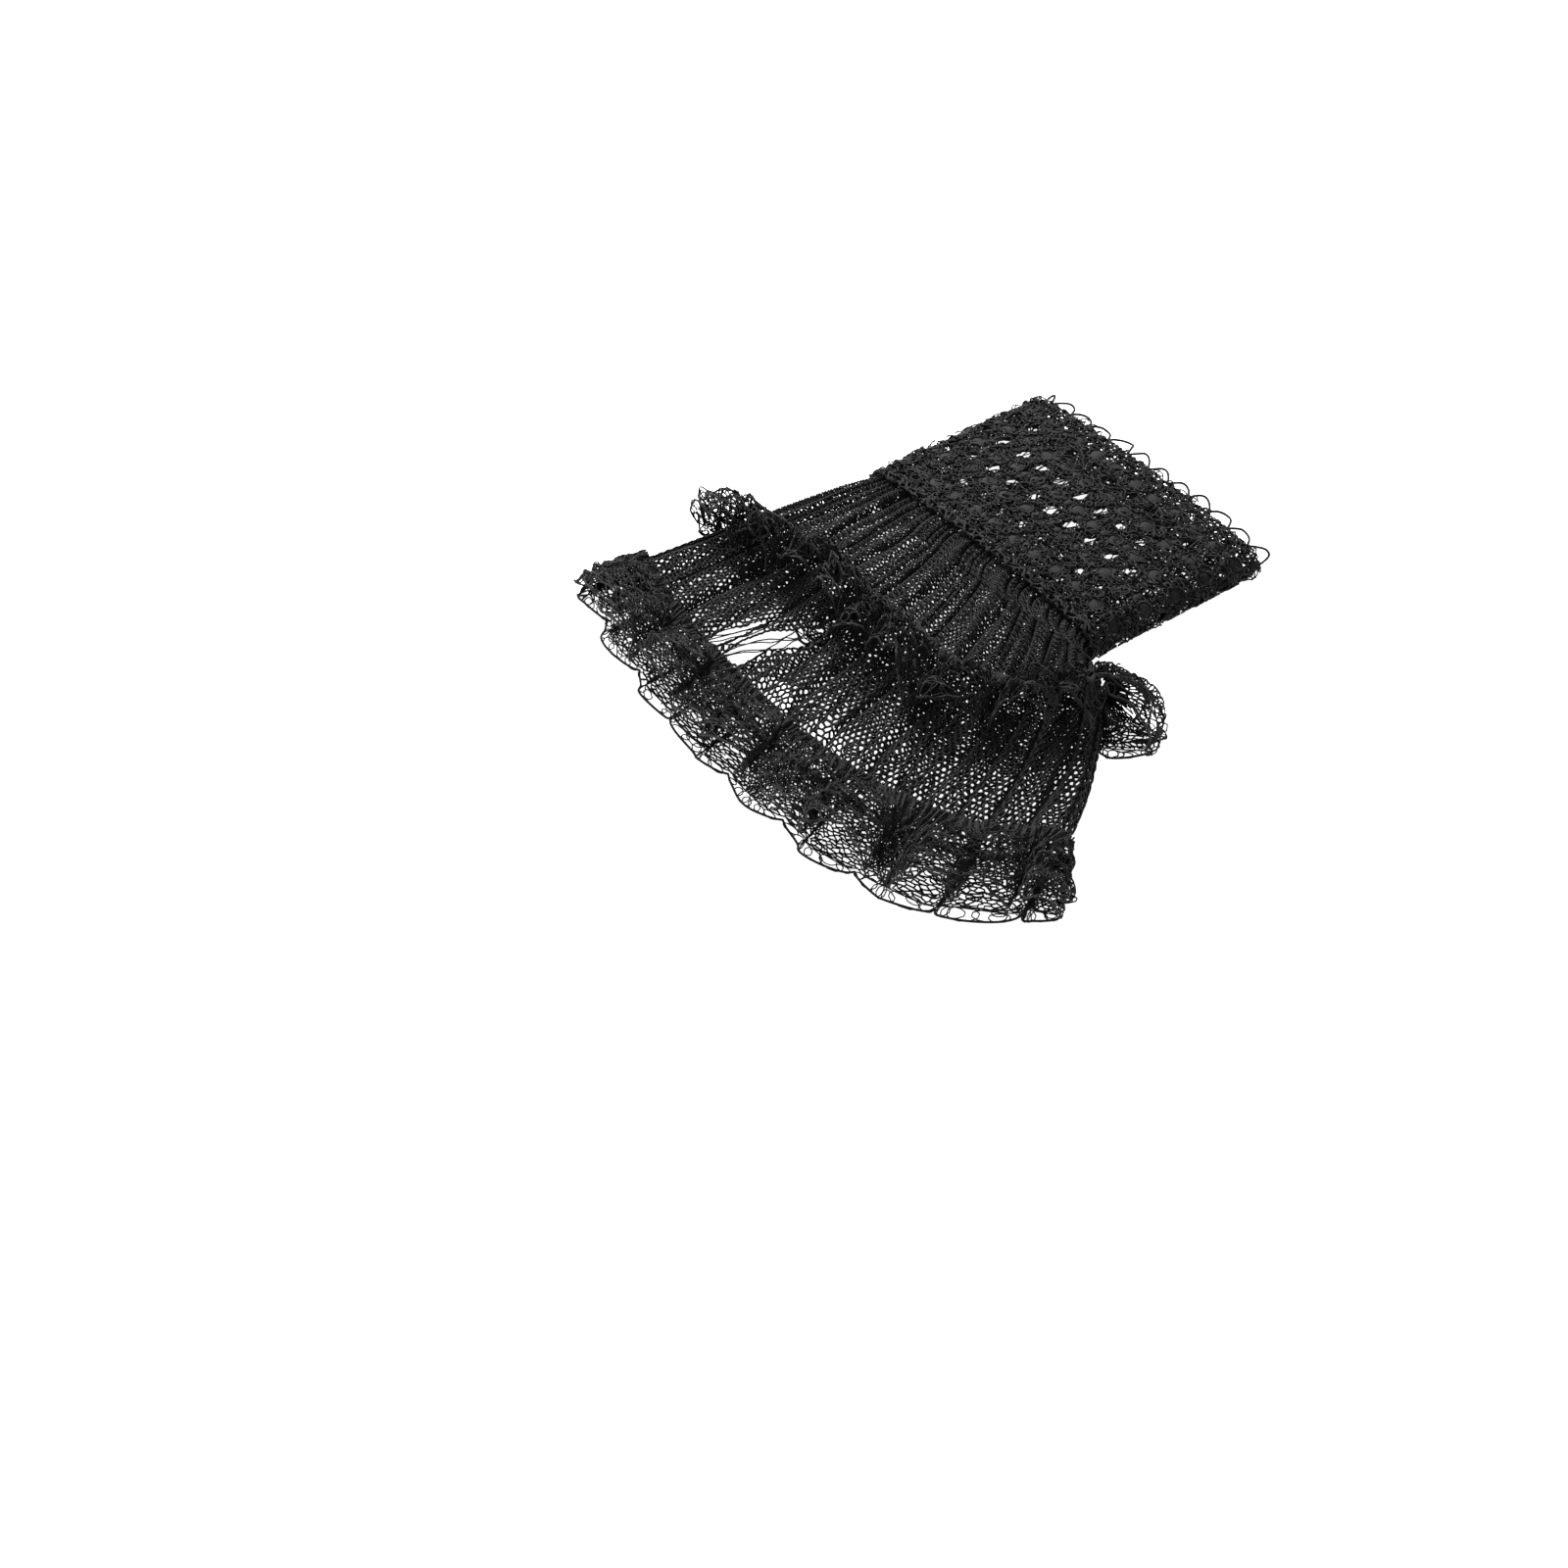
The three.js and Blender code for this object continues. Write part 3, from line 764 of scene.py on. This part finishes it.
class OBJECT_OT_cuff_band(bpy.types.Operator):
    """Makes the elastic band: satin flowers, picot loops, ground net and elastic threads."""

    bl_idname = "object.cuff_band"
    bl_label = "Openwork band"

    def execute(self, context):
        cuff = Cuff(context.scene.cuff_form)
        form, sizes = cuff.form, context.scene.cuff_threads
        yarns = finishes(context)
        pitch = cuff.band_round / form.flowers
        margin = (form.band_length - (form.rows - 1) * form.row_pitch) / 2
        chance = np.random.default_rng(11)
        gaps = star_gaps(cuff, chance)
        by_place = {}
        for gap in gaps:
            by_place.setdefault((round(gap[0] / pitch), round(gap[1] / form.row_pitch)), []).append(gap)

        def near(u, v):
            column = round(u / pitch)
            found = []
            for i in (column - 1, column, column + 1):
                for j in (int(v / form.row_pitch), int(v / form.row_pitch) + 1):
                    found += by_place.get((i % form.flowers, j), [])
            return found

        def hidden(u):
            return u > cuff.band_round / 2

        flowers = bmesh.new()
        loops = Drawing(12)
        for row in range(form.rows):
            for column in range(form.flowers):
                u = (column + 0.5) * pitch + chance.normal(0, 0.00025)
                v = margin + row * form.row_pitch + chance.normal(0, 0.00035)
                self.flower(flowers, loops, u, v, chance, sizes, 6 if hidden(u) else 10)
                link = u + pitch / 2
                if hidden(link):
                    continue
                self.pad(flowers, link, v + chance.normal(0, 0.0005), 0.0011, 0.0013, 0.0005, chance)
                for step in range(5):
                    turn = TAU * (step + chance.random()) / 5
                    loops.loop(
                        link + 0.0015 * math.cos(turn),
                        v + 0.0021 * math.sin(turn),
                        sizes.picot * chance.uniform(0.7, 1.0),
                        sizes.elastic,
                        lift=chance.normal(0.0001, 0.0002),
                        points=7,
                    )
        for _ in range(form.flowers * 9):
            u, v = chance.random() * cuff.band_round, chance.uniform(0.0006, 0.0038)
            loops.loop(u, v, sizes.picot * chance.uniform(0.7, 1.2), sizes.elastic, lift=-0.0003, points=7)
        flat = np.array([vert.co for vert in flowers.verts])
        mesh = bpy.data.meshes.new("flower_pads")
        for face in flowers.faces:
            face.smooth = True
        flowers.to_mesh(mesh)
        flowers.free()
        mesh.vertices.foreach_set("co", cuff.band_place(flat[:, 0], flat[:, 1], flat[:, 2]).ravel())
        mesh.update()
        dress(add_object("flower_pads", mesh), yarns["Satin flower"], "band_yarn", "wrist_band")
        picots = thicken(loops.laid("flower_picots", cuff.band_place))
        dress(picots, yarns["Twisted cord"], "band_yarn")

        def keep(u, v):
            for gap_u, gap_v, radius in near(u, v):
                du = (u - gap_u + cuff.band_round / 2) % cuff.band_round - cuff.band_round / 2
                dv = v - gap_v
                if math.hypot(du, dv) < radius * (0.8 + 0.2 * math.cos(4 * math.atan2(dv, du))):
                    return False
            return True

        ground = Drawing(13)
        ground.net(
            cuff.band_round,
            form.band_length,
            sizes.ground_pitch,
            lambda u, v: sizes.elastic * 1.3,
            keep=keep,
            wander=0.16,
        )
        for vert in ground.mesh.verts:
            vert.co.z = -0.0009 + chance.normal(0, 0.00025)
        net = thicken(ground.laid("band_ground", cuff.band_place))
        dress(net, yarns["Net thread"], "band_yarn")

        strands = Drawing(14)
        for row in range(form.rows + 1):
            centre = margin + (row - 0.5) * form.row_pitch
            for strand in range(11):
                under = strand > 7
                base = centre + (strand - (9 if under else 3.5)) * (0.0018 if under else 0.00066)
                if not 0.0006 < base < form.band_length - 0.0006:
                    continue
                self.strand(strands, cuff, base, 0.5 if under else 0.0, near, sizes)
        for column in range(form.flowers * 2):
            start, rise = chance.random(), chance.uniform(0.0003, 0.0007)
            base_u = (column + 0.5) * pitch / 2

            def path(t, base_u=base_u, start=start, rise=rise):
                v = t * form.band_length
                u = base_u + rise * math.sin(TAU * (9 * t + start))
                u, v = pushed(u, v, near(u, v), cuff.band_round)
                return u, v, -0.0004 + 0.0005 * math.sin(TAU * (13 * t + start))

            strands.line(64, path, sizes.elastic * 1.15)
        for _ in range(900):
            u, v = chance.random() * cuff.band_round / 2, chance.random() * form.band_length
            if not keep(u, v):
                continue
            curl(strands, u, v, chance.uniform(0.0008, 0.0022), sizes.elastic * 0.9, 0.0006)
        elastic = thicken(strands.laid("elastic_threads", cuff.band_place))
        dress(elastic, yarns["Twisted cord"], "band_yarn")
        return {"FINISHED"}

    def strand(self, strands, cuff, base, start, near, sizes):
        """One crimped elastic thread across half of the band."""
        chance = strands.chance
        starts, rises, level = chance.random(3), chance.uniform(0.0002, 0.0006, 3), chance.uniform(-0.0004, 0.0006)

        def path(t):
            across = start + t / 2
            v = base
            for begin, rise, count in zip(starts, rises, (31, 53, 89)):
                v += rise * math.sin(TAU * (count * across + begin))
            lift = level + 0.0004 * math.sin(TAU * (67 * across + starts[0]))
            u, v = pushed(across * cuff.band_round, v, near(across * cuff.band_round, v), cuff.band_round)
            return u, v, lift

        strands.line(cuff.form.flowers * 6, path, sizes.elastic)

    def pad(self, flowers, u, v, half_width, half_length, rise, chance):
        """Domed pad of satin stitches."""
        place = (
            Matrix.Translation((u, v, 0.0))
            @ Matrix.Rotation(chance.normal(0, 0.15), 4, "Z")
            @ Matrix.Diagonal((half_width, half_length, rise, 1))
        )
        bmesh.ops.create_uvsphere(flowers, u_segments=12, v_segments=7, radius=1.0, matrix=place)

    def flower(self, flowers, loops, u, v, chance, sizes, count):
        """One flower: a pad in a rim of cord, with picot loops round it."""
        self.pad(flowers, u, v, 0.0021, 0.0020, 0.0004, chance)
        loops.loop(u, v, 0.0022, sizes.cord * 0.9, lift=0.0002, points=16)
        for step in range(count):
            turn = TAU * (step + 0.25 + chance.normal(0, 0.12)) / count
            loops.loop(
                u + 0.0031 * math.cos(turn),
                v + 0.0034 * math.sin(turn),
                sizes.picot * chance.uniform(0.8, 1.2),
                sizes.elastic * 1.1,
                lift=chance.normal(0.0002, 0.0003),
                points=7,
                turn=chance.random(),
            )


class OBJECT_OT_cuff_edges(bpy.types.Operator):
    """Makes the scalloped cord of the wrist edge and the wavy cords along the band's lower edge."""

    bl_idname = "object.cuff_edges"
    bl_label = "Edge cords"

    def execute(self, context):
        cuff = Cuff(context.scene.cuff_form)
        form, sizes = cuff.form, context.scene.cuff_threads
        yarns = finishes(context)
        pitch = cuff.band_round / form.flowers
        chance = np.random.default_rng(31)

        wrist = Drawing(32)
        for column in range(form.flowers):
            height = 0.0038 * chance.uniform(0.75, 1.2)
            lean = chance.uniform(-0.2, 0.2)

            def path(t, column=column, height=height, lean=lean):
                v = -0.0003 - height * math.sin(math.pi * t) ** 0.8
                across = t + lean * math.sin(math.pi * t) ** 2
                return (column + across) * pitch, v, -0.001 + 0.0004 * math.sin(TAU * t + column)

            wrist.line(12, path, sizes.cord * 1.05)
            for ring in range(4):
                wrist.loop(
                    (column + (ring + chance.random()) / 4) * pitch,
                    -0.0002,
                    sizes.picot * chance.uniform(0.6, 0.9),
                    sizes.elastic * 0.8,
                    lift=-0.0008,
                    points=7,
                )
        edge = thicken(wrist.laid("wrist_scallops", cuff.band_place), sides=5)
        dress(edge, yarns["Twisted cord"], "edge_cord", "wrist_edge_cord")

        lower = Drawing(33)
        for strand, (base, rise, count, thick) in enumerate(
            (
                (0.0006, 0.0009, 24, sizes.cord * 1.2),
                (-0.0002, 0.0008, 41, sizes.cord * 0.8),
                (0.0013, 0.0006, 57, sizes.elastic * 1.2),
                (-0.0008, 0.0007, 33, sizes.elastic * 1.4),
            )
        ):
            start = chance.random()

            def path(t, base=base, rise=rise, count=count, start=start, strand=strand):
                v = form.band_length + base + rise * math.sin(TAU * (count * t + start))
                v += 0.0004 * math.sin(TAU * (2.3 * count * t + start))
                return t * cuff.band_round, v, 0.0002 + 0.0004 * math.cos(TAU * (count * t + strand))

            lower.line(form.flowers * 20, path, thick)
        edge = thicken(lower.laid("band_edge_waves", cuff.band_place), sides=5)
        dress(edge, yarns["Twisted cord"], "edge_cord", "band_edge_cord")
        return {"FINISHED"}


class OBJECT_OT_cuff_sleeve(bpy.types.Operator):
    """Makes the pleated net sleeve, its upper side and its underside."""

    bl_idname = "object.cuff_sleeve"
    bl_label = "Net sleeve"

    def execute(self, context):
        cuff = Cuff(context.scene.cuff_form)
        form, sizes = cuff.form, context.scene.cuff_threads
        yarns = finishes(context)
        run = form.tuck + form.sleeve_length + cuff.LAP
        cut = sizes.sleeve_cut
        for name, start, pitch in (("sleeve_top", 0.0, sizes.sleeve_pitch), ("sleeve_under", 0.5, sizes.under_pitch)):
            half = Drawing(41)
            runs = []
            for share_a, reach_a, share_b, reach_b, half_width in RUNS[name]:
                ends = [
                    Vector((2 * cut * (share_ - start), reach + form.tuck, 0))
                    for share_, reach in ((share_a, reach_a), (share_b, reach_b))
                ]
                runs.append((*ends, half_width))

            def keep(u, v, runs=runs):
                v = run * (v / run) * (0.65 + 0.35 * v / run)
                for low, high, half_width in runs:
                    along = high - low
                    spot = Vector((u, v, 0))
                    nearest = low + along * min(1, max(0, (spot - low).dot(along) / along.length_squared))
                    if (spot - nearest).length < half_width:
                        return False
                return True

            def thread(u, v):
                return sizes.sleeve_thread * np.interp(v - form.tuck, TUCKED["reach"], TUCKED["thread"])

            half.net(cut, run, pitch, thread, keep=keep, wander=0.05, tall=0.38)
            for low, high, half_width in runs:
                beyond = (high - low).normalized() * half_width
                aside = Vector((beyond.y, -beyond.x, 0))
                for side in (-0.35, 0.3):
                    first, last = low - beyond + side * aside, high + beyond + side * aside

                    def path(t, first=first, last=last):
                        spot = first.lerp(last, t)
                        down = (math.sqrt(0.65**2 + 4 * 0.35 * spot.y / run) - 0.65) / (2 * 0.35)
                        return spot.x, run * down, 0.0

                    half.line(10, path, sizes.thread)

            def place(u, v, lift, start=start):
                down = v / run
                return cuff.sleeve_place(start + 0.5 * u / cut, run * down * (0.65 + 0.35 * down) - form.tuck, lift)

            cloth = thicken(half.laid(name, place))
            dress(cloth, yarns["Net thread"], "net", *(["net_sleeve"] if name == "sleeve_top" else []))
        ribs = Drawing(43)
        for rib in range(form.pleats):
            self.ladder(ribs, cuff, rib / 2 + 0.25, sizes)
        crests = thicken(ribs.laid("sleeve_ribs", cuff.sleeve_place))
        dress(crests, yarns["Twisted cord"], "net")
        return {"FINISHED"}

    def ladder(self, ribs, cuff, phase, sizes):
        """Draws the close rungs of net over the crest of one pleat. u is a share round the cuff here."""
        form, gap = cuff.form, sizes.rung
        rungs = int((form.upper_seam + 0.004) / gap)
        fade = ribs.chance.uniform(0.7, 1.0)

        def path(t):
            step = round(t * 3 * rungs)
            rung, part = divmod(step, 3)
            side = (part - 1) * (1 if rung % 2 else -1)
            v = (rung + 0.15 * part) * gap - 0.001
            u = np.array([phase / form.pleats])
            for _ in range(2):
                u = u + (phase + 0.15 * side - cuff.phase(u, v)) / form.pleats
            return float(u[0]), v, 0.0005 - 0.0004 * abs(side)

        ribs.line(3 * rungs, path, sizes.sleeve_thread * fade)


class LaceRuffle:
    """Draws and lays one ruffle of lace."""

    def __init__(self, context, cuff, ruffle, seed):
        self.cuff, self.ruffle = cuff, ruffle
        self.sizes = context.scene.cuff_threads
        self.yarns = finishes(context)
        self.pitch = ruffle.flat_round / ruffle.scallops
        self.fullness = ruffle.flat_round / ruffle.seam_round
        self.place = cuff.ruffle_place(ruffle)
        self.seed = seed

    def hem(self, u):
        """How far down the hem lies at a place round it."""
        across = (u / self.pitch) % 1
        return self.ruffle.length - self.cuff.form.scallop_depth * (1 - math.sin(math.pi * across) ** 0.6)

    def inner(self, u):
        """How far down the cord inside the hem lies at a place round it."""
        across = (u / self.pitch) % 1
        return self.hem(u) - 0.0014 - 0.0027 * math.sin(math.pi * across)

    def make(self, name, slot, node, pitch, curls):
        """Makes the ruffle's net and its motifs."""
        ruffle, sizes = self.ruffle, self.sizes

        def keep(u, v):
            return v < self.inner(u) + 0.0002

        def drop(u, v):
            return 0.01 + 0.1 * min(1, max(0, v / ruffle.length - 0.35) / 0.5) * (0.5 + 0.5 * math.sin(900 * u))

        def thread(u, v):
            return sizes.thread * ruffle.thread * (1.1 - 0.1 * min(1, v / ruffle.length * 2.5))

        net = Drawing(self.seed)
        net.net(ruffle.flat_round, ruffle.length, pitch, thread, keep, 0.15, drop, ruffle.tall)
        cloth = thicken(net.laid(name + "_net", self.place))
        dress(cloth, self.yarns["Lace thread"], slot, node)
        motifs = Drawing(self.seed + 1)
        for index in range(ruffle.scallops):
            self.scallop(motifs, index)
            for _ in range(curls):
                u = (index + motifs.chance.random()) * self.pitch
                v = ruffle.length * motifs.chance.uniform(0.1, 0.85)
                curl(motifs, u, v, motifs.chance.uniform(0.0008, 0.0022), sizes.thread, 0.0004)
        self.seam(motifs)
        cords = thicken(motifs.laid(name + "_motifs", self.place))
        dress(cords, self.yarns["Lace cord"], slot)
        return cloth

    def scallop(self, motifs, index):
        """Draws the cords and open cells of one scallop."""
        ruffle, sizes, chance = self.ruffle, self.sizes, motifs.chance
        base, depth = index * self.pitch, ruffle.length

        def hem_path(t):
            u = base + t * self.pitch
            return u, self.hem(u), 0.0

        def inner_path(t):
            u = base + t * self.pitch
            return u, self.inner(u), 0.0

        motifs.line(20, hem_path, sizes.cord * 1.05)
        motifs.line(18, inner_path, sizes.outline)
        for cell in range(7):
            u = base + (cell + chance.uniform(0.2, 0.8)) / 7 * self.pitch
            room = (self.hem(u) - self.inner(u)) / 2 * chance.uniform(0.75, 1.15)
            motifs.loop(
                u,
                self.hem(u) - room,
                room * self.fullness,
                sizes.thread * 0.95,
                points=10,
                stretch=chance.uniform(0.9, 1.2) / self.fullness,
            )
        for leaf in range(4):
            begin, end = chance.uniform(0.1, 0.4) * depth, chance.uniform(0.6, 0.92) * depth
            left, sway = base + chance.random() * self.pitch, chance.normal(0, 0.0025)
            bow = chance.normal(0, 0.0022)

            def stem_path(t, left=left, sway=sway, bow=bow, begin=begin, end=end):
                return left + sway * t + bow * math.sin(math.pi * t), begin + (end - begin) * t, 0.0001

            motifs.line(9, stem_path, sizes.outline * 0.85)
        for leaf in range(9):
            motifs.loop(
                base + chance.random() * self.pitch,
                depth * chance.uniform(0.3, 0.86),
                chance.uniform(0.0007, 0.0015) * self.fullness,
                sizes.outline * 0.85,
                points=9,
                stretch=chance.uniform(1.0, 1.6) / self.fullness,
            )

    def seam(self, motifs):
        """Draws the gathered seam: rows of stitching and short bunched threads."""
        ruffle, sizes, chance = self.ruffle, self.sizes, motifs.chance
        for row in range(4):
            start, second = chance.random(2)

            def path(t, row=row, start=start, second=second):
                v = 0.0003 + 0.0009 * row + 0.0005 * math.sin(TAU * (97 * t + start))
                v += 0.0007 * math.sin(TAU * (41 * t + second))
                return t * ruffle.flat_round, v, 0.0004 * math.cos(TAU * (141 * t + start))

            motifs.line(ruffle.scallops * 14, path, sizes.outline)
        for _ in range(ruffle.gathers * 3):
            u, sway = chance.random() * ruffle.flat_round * 0.6, chance.normal(0, 0.0007)
            begin, run = chance.uniform(-0.0012, 0.0006), chance.uniform(0.002, 0.0045)
            motifs.line(
                3,
                lambda t, u=u, sway=sway, begin=begin, run=run: (u + sway * t, begin + run * t, 0.0003 * (1 - t)),
                sizes.thread * 1.3,
            )


class OBJECT_OT_cuff_upper_ruffle(bpy.types.Operator):
    """Makes the upper lace ruffle with its frills and scallops."""

    bl_idname = "object.cuff_upper_ruffle"
    bl_label = "Upper ruffle"

    def execute(self, context):
        cuff = Cuff(context.scene.cuff_form)
        sizes = context.scene.cuff_threads
        ruffle = LaceRuffle(context, cuff, upper_ruffle(cuff), 51)
        ruffle.make("upper", "ruffle_lace", "upper_ruffle", sizes.upper_pitch, curls=12)
        return {"FINISHED"}


class OBJECT_OT_cuff_lower_ruffle(bpy.types.Operator):
    """Makes the lower lace ruffle with the scalloped hem."""

    bl_idname = "object.cuff_lower_ruffle"
    bl_label = "Lower ruffle"

    def execute(self, context):
        cuff = Cuff(context.scene.cuff_form)
        sizes = context.scene.cuff_threads
        ruffle = LaceRuffle(context, cuff, lower_ruffle(cuff), 61)
        ruffle.make("lower", "ruffle_lace", "lower_ruffle", sizes.lower_pitch, curls=8)
        return {"FINISHED"}


class OBJECT_OT_cuff_stage(bpy.types.Operator):
    """Makes the pale floor, the soft light and the camera."""

    bl_idname = "object.cuff_stage"
    bl_label = "Stage"

    def execute(self, context):
        stage = context.scene.cuff_stage
        floor = bmesh.new()
        bmesh.ops.create_grid(floor, x_segments=2, y_segments=2, size=3.0)
        mesh = bpy.data.meshes.new("floor")
        floor.to_mesh(mesh)
        floor.free()
        ground = add_object("floor", mesh)
        made, tree = start_material("Pale floor")
        place = tree.add("ShaderNodeTexCoord", {})["Object"]
        mottle = tree.add("ShaderNodeTexNoise", {}, Vector=place, Scale=6.0, Detail=3.0)["Fac"]
        shade = tuple(part * 0.98 for part in stage.floor)
        tone = tree.add(
            "ShaderNodeMix", {"data_type": "RGBA"}, Factor=mottle, A=(*shade, 1), B=(*stage.floor, 1)
        )["Result"]
        shader = tree.add(
            "ShaderNodeBsdfPrincipled",
            {},
            **{"Base Color": tone, "Roughness": 0.9, "Emission Color": tone, "Emission Strength": stage.glow},
        )["BSDF"]
        tree.add("ShaderNodeOutputMaterial", {}, Surface=shader)
        mesh.materials.append(made)
        ground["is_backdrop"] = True

        world = bpy.data.worlds.new("Soft white")
        world.use_nodes = True
        world.node_tree.nodes["Background"].inputs["Color"].default_value = (1, 1, 1, 1)
        world.node_tree.nodes["Background"].inputs["Strength"].default_value = stage.sky
        context.scene.world = world
        context.scene.view_settings.view_transform = "Standard"

        lamp = bpy.data.lights.new("soft_lamp", "AREA")
        lamp.shape, lamp.size, lamp.energy = "DISK", 0.5, stage.lamp
        lit = add_object("soft_lamp", lamp)
        lit.location = (-0.8, 0.25, 0.65)
        lit.rotation_euler = (-lit.location).to_track_quat("-Z", "Y").to_euler()

        camera = bpy.data.cameras.new("camera")
        camera.lens, camera.sensor_width = stage.lens, 36
        eye = add_object("camera", camera)
        back = Vector(
            (
                math.sin(stage.turn) * math.cos(stage.height),
                -math.cos(stage.turn) * math.cos(stage.height),
                math.sin(stage.height),
            )
        )
        band = Vector(((BAND_LOW.x + BAND_HIGH.x) / 2, BAND_LOW.y, 0))
        eye.location = band + Vector((0.03465, -0.0951, 0)) + stage.away * back
        eye.rotation_euler = (-back).to_track_quat("-Z", "Y").to_euler()
        context.scene.camera = eye
        return {"FINISHED"}


class VIEW3D_PT_lace_cuff(bpy.types.Panel):
    """Lists the cuff's pieces and its settings."""

    bl_idname = "VIEW3D_PT_lace_cuff"
    bl_label = "Lace cuff"
    bl_space_type = "VIEW_3D"
    bl_region_type = "UI"
    bl_category = "Lace cuff"

    def draw(self, context):
        for operator in OPERATORS:
            self.layout.operator(operator.bl_idname)
        for name in SETTINGS:
            group = getattr(context.scene, name)
            box = self.layout.box()
            box.label(text=group.bl_rna.description)
            for prop in group.bl_rna.properties:
                if prop.identifier not in {"rna_type", "name"}:
                    box.prop(group, prop.identifier)


SETTINGS = {
    "cuff_form": CuffForm,
    "cuff_threads": ThreadSizes,
    "cuff_yarn": YarnFinish,
    "cuff_stage": StageSizes,
}
OPERATORS = (
    OBJECT_OT_cuff_band,
    OBJECT_OT_cuff_edges,
    OBJECT_OT_cuff_sleeve,
    OBJECT_OT_cuff_upper_ruffle,
    OBJECT_OT_cuff_lower_ruffle,
    OBJECT_OT_cuff_stage,
)


def register():
    for group in (*SETTINGS.values(), *OPERATORS, VIEW3D_PT_lace_cuff):
        bpy.utils.register_class(group)
    for name, group in SETTINGS.items():
        setattr(bpy.types.Scene, name, PointerProperty(type=group))


def unregister():
    for name in SETTINGS:
        delattr(bpy.types.Scene, name)
    for group in reversed((*SETTINGS.values(), *OPERATORS, VIEW3D_PT_lace_cuff)):
        bpy.utils.unregister_class(group)


def main():
    """Makes every piece in order."""
    register()
    bpy.ops.object.cuff_sleeve()
    bpy.ops.object.cuff_lower_ruffle()
    bpy.ops.object.cuff_upper_ruffle()
    bpy.ops.object.cuff_band()
    bpy.ops.object.cuff_edges()
    bpy.ops.object.cuff_stage()
    boxes = {"cad": cad_box, "visual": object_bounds()}
    plain = {name: [list(corner) for corner in corners] for name, corners in boxes.items()}


if __name__ == "__main__":
    main()
